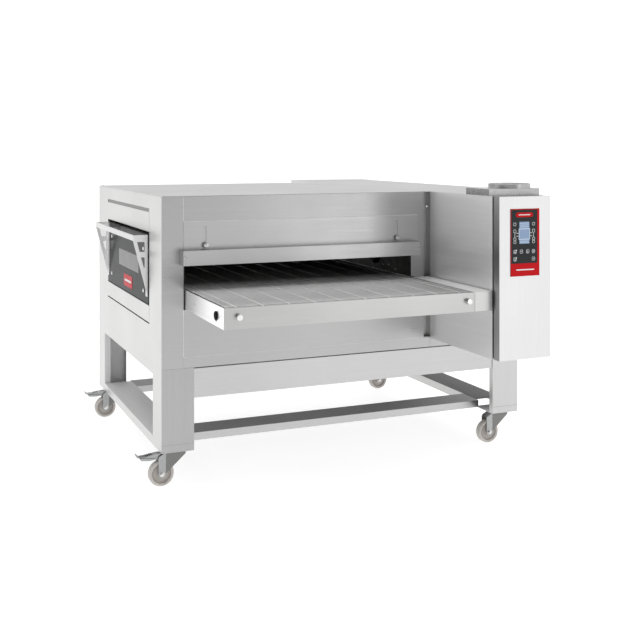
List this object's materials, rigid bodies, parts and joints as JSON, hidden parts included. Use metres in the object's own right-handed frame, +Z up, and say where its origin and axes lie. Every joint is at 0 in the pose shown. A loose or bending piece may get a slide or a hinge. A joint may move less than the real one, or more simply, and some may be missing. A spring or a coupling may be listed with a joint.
{
  "type": "conveyor pizza oven",
  "caption": "Stainless tunnel oven with a through conveyor, adjustable shutters, side inspection door, control cabinet and a wheeled stand.",
  "frame": {"origin": "centre of the oven's overall footprint, on the floor under its casters", "axes": "+X to the right along the front, +Y from the front end of the conveyor to the rear end, +Z up"},
  "size_m": [1.534, 2.059, 1.058],
  "materials": {
    "brushed_stainless": "satin brushed",
    "chamber_steel": "heat-stained",
    "belt_wire": "woven wire",
    "bright_steel": "polished",
    "zinc_plate": "zinc plated",
    "caster_tread": "grey-brown rubber",
    "dark_glass": "gloss",
    "wool": "fibrous",
    "motor_paint": "satin",
    "board_plastic": "matte",
    "gland_plastic": "matte",
    "keypad_film": "satin film"
  },
  "bodies": {
    "oven": {"base_pan": "brushed_stainless", "belt_supports": "brushed_stainless", "blower_motors": "motor_paint", "cabinet_shell": "brushed_stainless", "cable_gland": "gland_plastic", "caster_plates": "zinc_plate", "chamber_liner": "chamber_steel", "control_board": "board_plastic", "conveyor_belt": "belt_wire", "conveyor_drive_cover": "brushed_stainless", "conveyor_side_rails": "brushed_stainless", "drive_chain": "bright_steel", "front_panel": "brushed_stainless", "gearmotor": "motor_paint", "heating_elements": "bright_steel", "insulation": "wool", "jet_fingers": "chamber_steel", "left_side_panel": "brushed_stainless", "lower_frame": "brushed_stainless", "rear_panel": "brushed_stainless", "service_bay_shell": "brushed_stainless", "stand_legs": "brushed_stainless", "top_cover": "brushed_stainless", "upper_frame": "brushed_stainless", "vent_box": "brushed_stainless"},
    "caster_front_left": {"caster_fork_front_left": "zinc_plate"},
    "wheel_front_left": {"caster_wheel_front_left": "caster_tread"},
    "brake_front_left": {"brake_pedal_front_left": "zinc_plate"},
    "caster_rear_left": {"caster_fork_rear_left": "zinc_plate"},
    "wheel_rear_left": {"caster_wheel_rear_left": "caster_tread"},
    "brake_rear_left": {"brake_pedal_rear_left": "zinc_plate"},
    "caster_front_right": {"caster_fork_front_right": "zinc_plate"},
    "wheel_front_right": {"caster_wheel_front_right": "caster_tread"},
    "caster_rear_right": {"caster_fork_rear_right": "zinc_plate"},
    "wheel_rear_right": {"caster_wheel_rear_right": "caster_tread"},
    "inspection_door": {"inspection_door": "brushed_stainless", "door_glass": "dark_glass", "door_handle": "brushed_stainless", "door_screws": "bright_steel"},
    "control_door": {"control_door": "brushed_stainless", "keypad_panel": "keypad_film"},
    "front_shutter": {"front_shutter": "brushed_stainless"},
    "front_knob_left": {"front_knob_left": "bright_steel"},
    "front_knob_right": {"front_knob_right": "bright_steel"},
    "front_crumb_tray": {"front_crumb_tray": "brushed_stainless"},
    "rear_shutter": {"rear_shutter": "brushed_stainless"},
    "rear_knob_left": {"rear_knob_left": "bright_steel"},
    "rear_knob_right": {"rear_knob_right": "bright_steel"},
    "rear_crumb_tray": {"rear_crumb_tray": "brushed_stainless"},
    "drive_roller": {"drive_roller": "bright_steel"},
    "idler_roller": {"idler_roller": "bright_steel"},
    "motor_sprocket": {"motor_sprocket": "bright_steel"},
    "blower_front": {"blower_impeller_front": "bright_steel"},
    "blower_rear": {"blower_impeller_rear": "bright_steel"},
    "key_enter": {"key_enter": "keypad_film"},
    "key_fan": {"key_fan": "keypad_film"},
    "key_light": {"key_light": "keypad_film"},
    "key_power": {"key_power": "keypad_film"},
    "key_stop": {"key_stop": "keypad_film"},
    "key_timer": {"key_timer": "keypad_film"}
  },
  "joints": [
    {"name": "swivel_front_left", "type": "hinge", "parent": "oven", "child": "caster_front_left", "pos_m": [-0.63175, -0.484, 0.115], "axis": [0, 0, 1], "continuous": true},
    {"name": "roll_front_left", "type": "hinge", "parent": "caster_front_left", "child": "wheel_front_left", "pos_m": [-0.67675, -0.484, 0.045], "axis": [0, 1, 0], "continuous": true},
    {"name": "brake_front_left_press", "type": "hinge", "parent": "caster_front_left", "child": "brake_front_left", "pos_m": [-0.68075, -0.484, 0.102], "axis": [0, -1, 0], "range_deg": [0, 10]},
    {"name": "swivel_rear_left", "type": "hinge", "parent": "oven", "child": "caster_rear_left", "pos_m": [-0.63175, 0.506, 0.115], "axis": [0, 0, 1], "continuous": true},
    {"name": "roll_rear_left", "type": "hinge", "parent": "caster_rear_left", "child": "wheel_rear_left", "pos_m": [-0.67675, 0.506, 0.045], "axis": [0, 1, 0], "continuous": true},
    {"name": "brake_rear_left_press", "type": "hinge", "parent": "caster_rear_left", "child": "brake_rear_left", "pos_m": [-0.68075, 0.506, 0.102], "axis": [0, -1, 0], "range_deg": [0, 10]},
    {"name": "swivel_front_right", "type": "hinge", "parent": "oven", "child": "caster_front_right", "pos_m": [0.70875, -0.484, 0.115], "axis": [0, 0, 1], "continuous": true},
    {"name": "roll_front_right", "type": "hinge", "parent": "caster_front_right", "child": "wheel_front_right", "pos_m": [0.66375, -0.484, 0.045], "axis": [0, 1, 0], "continuous": true},
    {"name": "swivel_rear_right", "type": "hinge", "parent": "oven", "child": "caster_rear_right", "pos_m": [0.70875, 0.506, 0.115], "axis": [0, 0, 1], "continuous": true},
    {"name": "roll_rear_right", "type": "hinge", "parent": "caster_rear_right", "child": "wheel_rear_right", "pos_m": [0.66375, 0.506, 0.045], "axis": [0, 1, 0], "continuous": true},
    {"name": "inspection_door_hinge", "type": "hinge", "parent": "oven", "child": "inspection_door", "pos_m": [-0.684, 0.0015, 0.627], "axis": [0, -1, 0], "range_deg": [0, 90]},
    {"name": "control_door_hinge", "type": "hinge", "parent": "oven", "child": "control_door", "pos_m": [0.571, -0.9995, 0.735], "axis": [0, 0, 1], "range_deg": [0, 90]},
    {"name": "front_shutter_slide", "type": "slide", "parent": "oven", "child": "front_shutter", "axis": [0, 0, -1], "range_m": [0, 0.06]},
    {"name": "front_knob_left_turn", "type": "hinge", "parent": "oven", "child": "front_knob_left", "pos_m": [-0.535, -0.5498, 0.845], "axis": [0, -1, 0], "range_deg": [0, 360]},
    {"name": "front_knob_right_turn", "type": "hinge", "parent": "oven", "child": "front_knob_right", "pos_m": [0.22, -0.5498, 0.845], "axis": [0, -1, 0], "range_deg": [0, 360]},
    {"name": "front_tray_pull", "type": "slide", "parent": "oven", "child": "front_crumb_tray", "axis": [0, -1, 0], "range_m": [0, 0.4]},
    {"name": "rear_shutter_slide", "type": "slide", "parent": "oven", "child": "rear_shutter", "axis": [0, 0, -1], "range_m": [0, 0.06]},
    {"name": "rear_knob_left_turn", "type": "hinge", "parent": "oven", "child": "rear_knob_left", "pos_m": [-0.535, 0.5718, 0.845], "axis": [0, 1, 0], "range_deg": [0, 360]},
    {"name": "rear_knob_right_turn", "type": "hinge", "parent": "oven", "child": "rear_knob_right", "pos_m": [0.22, 0.5718, 0.845], "axis": [0, 1, 0], "range_deg": [0, 360]},
    {"name": "rear_tray_pull", "type": "slide", "parent": "oven", "child": "rear_crumb_tray", "axis": [0, 1, 0], "range_m": [0, 0.4]},
    {"name": "drive_roller_turn", "type": "hinge", "parent": "oven", "child": "drive_roller", "pos_m": [-0.158, -0.9585, 0.662], "axis": [1, 0, 0], "continuous": true},
    {"name": "idler_roller_turn", "type": "hinge", "parent": "oven", "child": "idler_roller", "pos_m": [-0.158, 0.9805, 0.662], "axis": [1, 0, 0], "continuous": true},
    {"name": "motor_sprocket_turn", "type": "hinge", "parent": "oven", "child": "motor_sprocket", "pos_m": [0.316, -0.7265, 0.662], "axis": [1, 0, 0], "continuous": true},
    {"name": "blower_front_turn", "type": "hinge", "parent": "oven", "child": "blower_front", "pos_m": [0.324, -0.2165, 0.77], "axis": [1, 0, 0], "continuous": true},
    {"name": "blower_rear_turn", "type": "hinge", "parent": "oven", "child": "blower_rear", "pos_m": [0.324, 0.2385, 0.77], "axis": [1, 0, 0], "continuous": true},
    {"name": "key_enter_press", "type": "slide", "parent": "control_door", "child": "key_enter", "axis": [0, 1, 0], "range_m": [0, 0.0005], "stiffness_N_per_m": 400, "springref_m": -0.0003},
    {"name": "key_fan_press", "type": "slide", "parent": "control_door", "child": "key_fan", "axis": [0, 1, 0], "range_m": [0, 0.0005], "stiffness_N_per_m": 400, "springref_m": -0.0003},
    {"name": "key_light_press", "type": "slide", "parent": "control_door", "child": "key_light", "axis": [0, 1, 0], "range_m": [0, 0.0005], "stiffness_N_per_m": 400, "springref_m": -0.0003},
    {"name": "key_power_press", "type": "slide", "parent": "control_door", "child": "key_power", "axis": [0, 1, 0], "range_m": [0, 0.0005], "stiffness_N_per_m": 400, "springref_m": -0.0003},
    {"name": "key_stop_press", "type": "slide", "parent": "control_door", "child": "key_stop", "axis": [0, 1, 0], "range_m": [0, 0.0005], "stiffness_N_per_m": 400, "springref_m": -0.0003},
    {"name": "key_timer_press", "type": "slide", "parent": "control_door", "child": "key_timer", "axis": [0, 1, 0], "range_m": [0, 0.0005], "stiffness_N_per_m": 400, "springref_m": -0.0003}
  ],
  "couplings": [
    {"joint": "idler_roller_turn", "follows": "drive_roller_turn", "ratio": 1},
    {"joint": "motor_sprocket_turn", "follows": "drive_roller_turn", "ratio": 1.5}
  ]
}
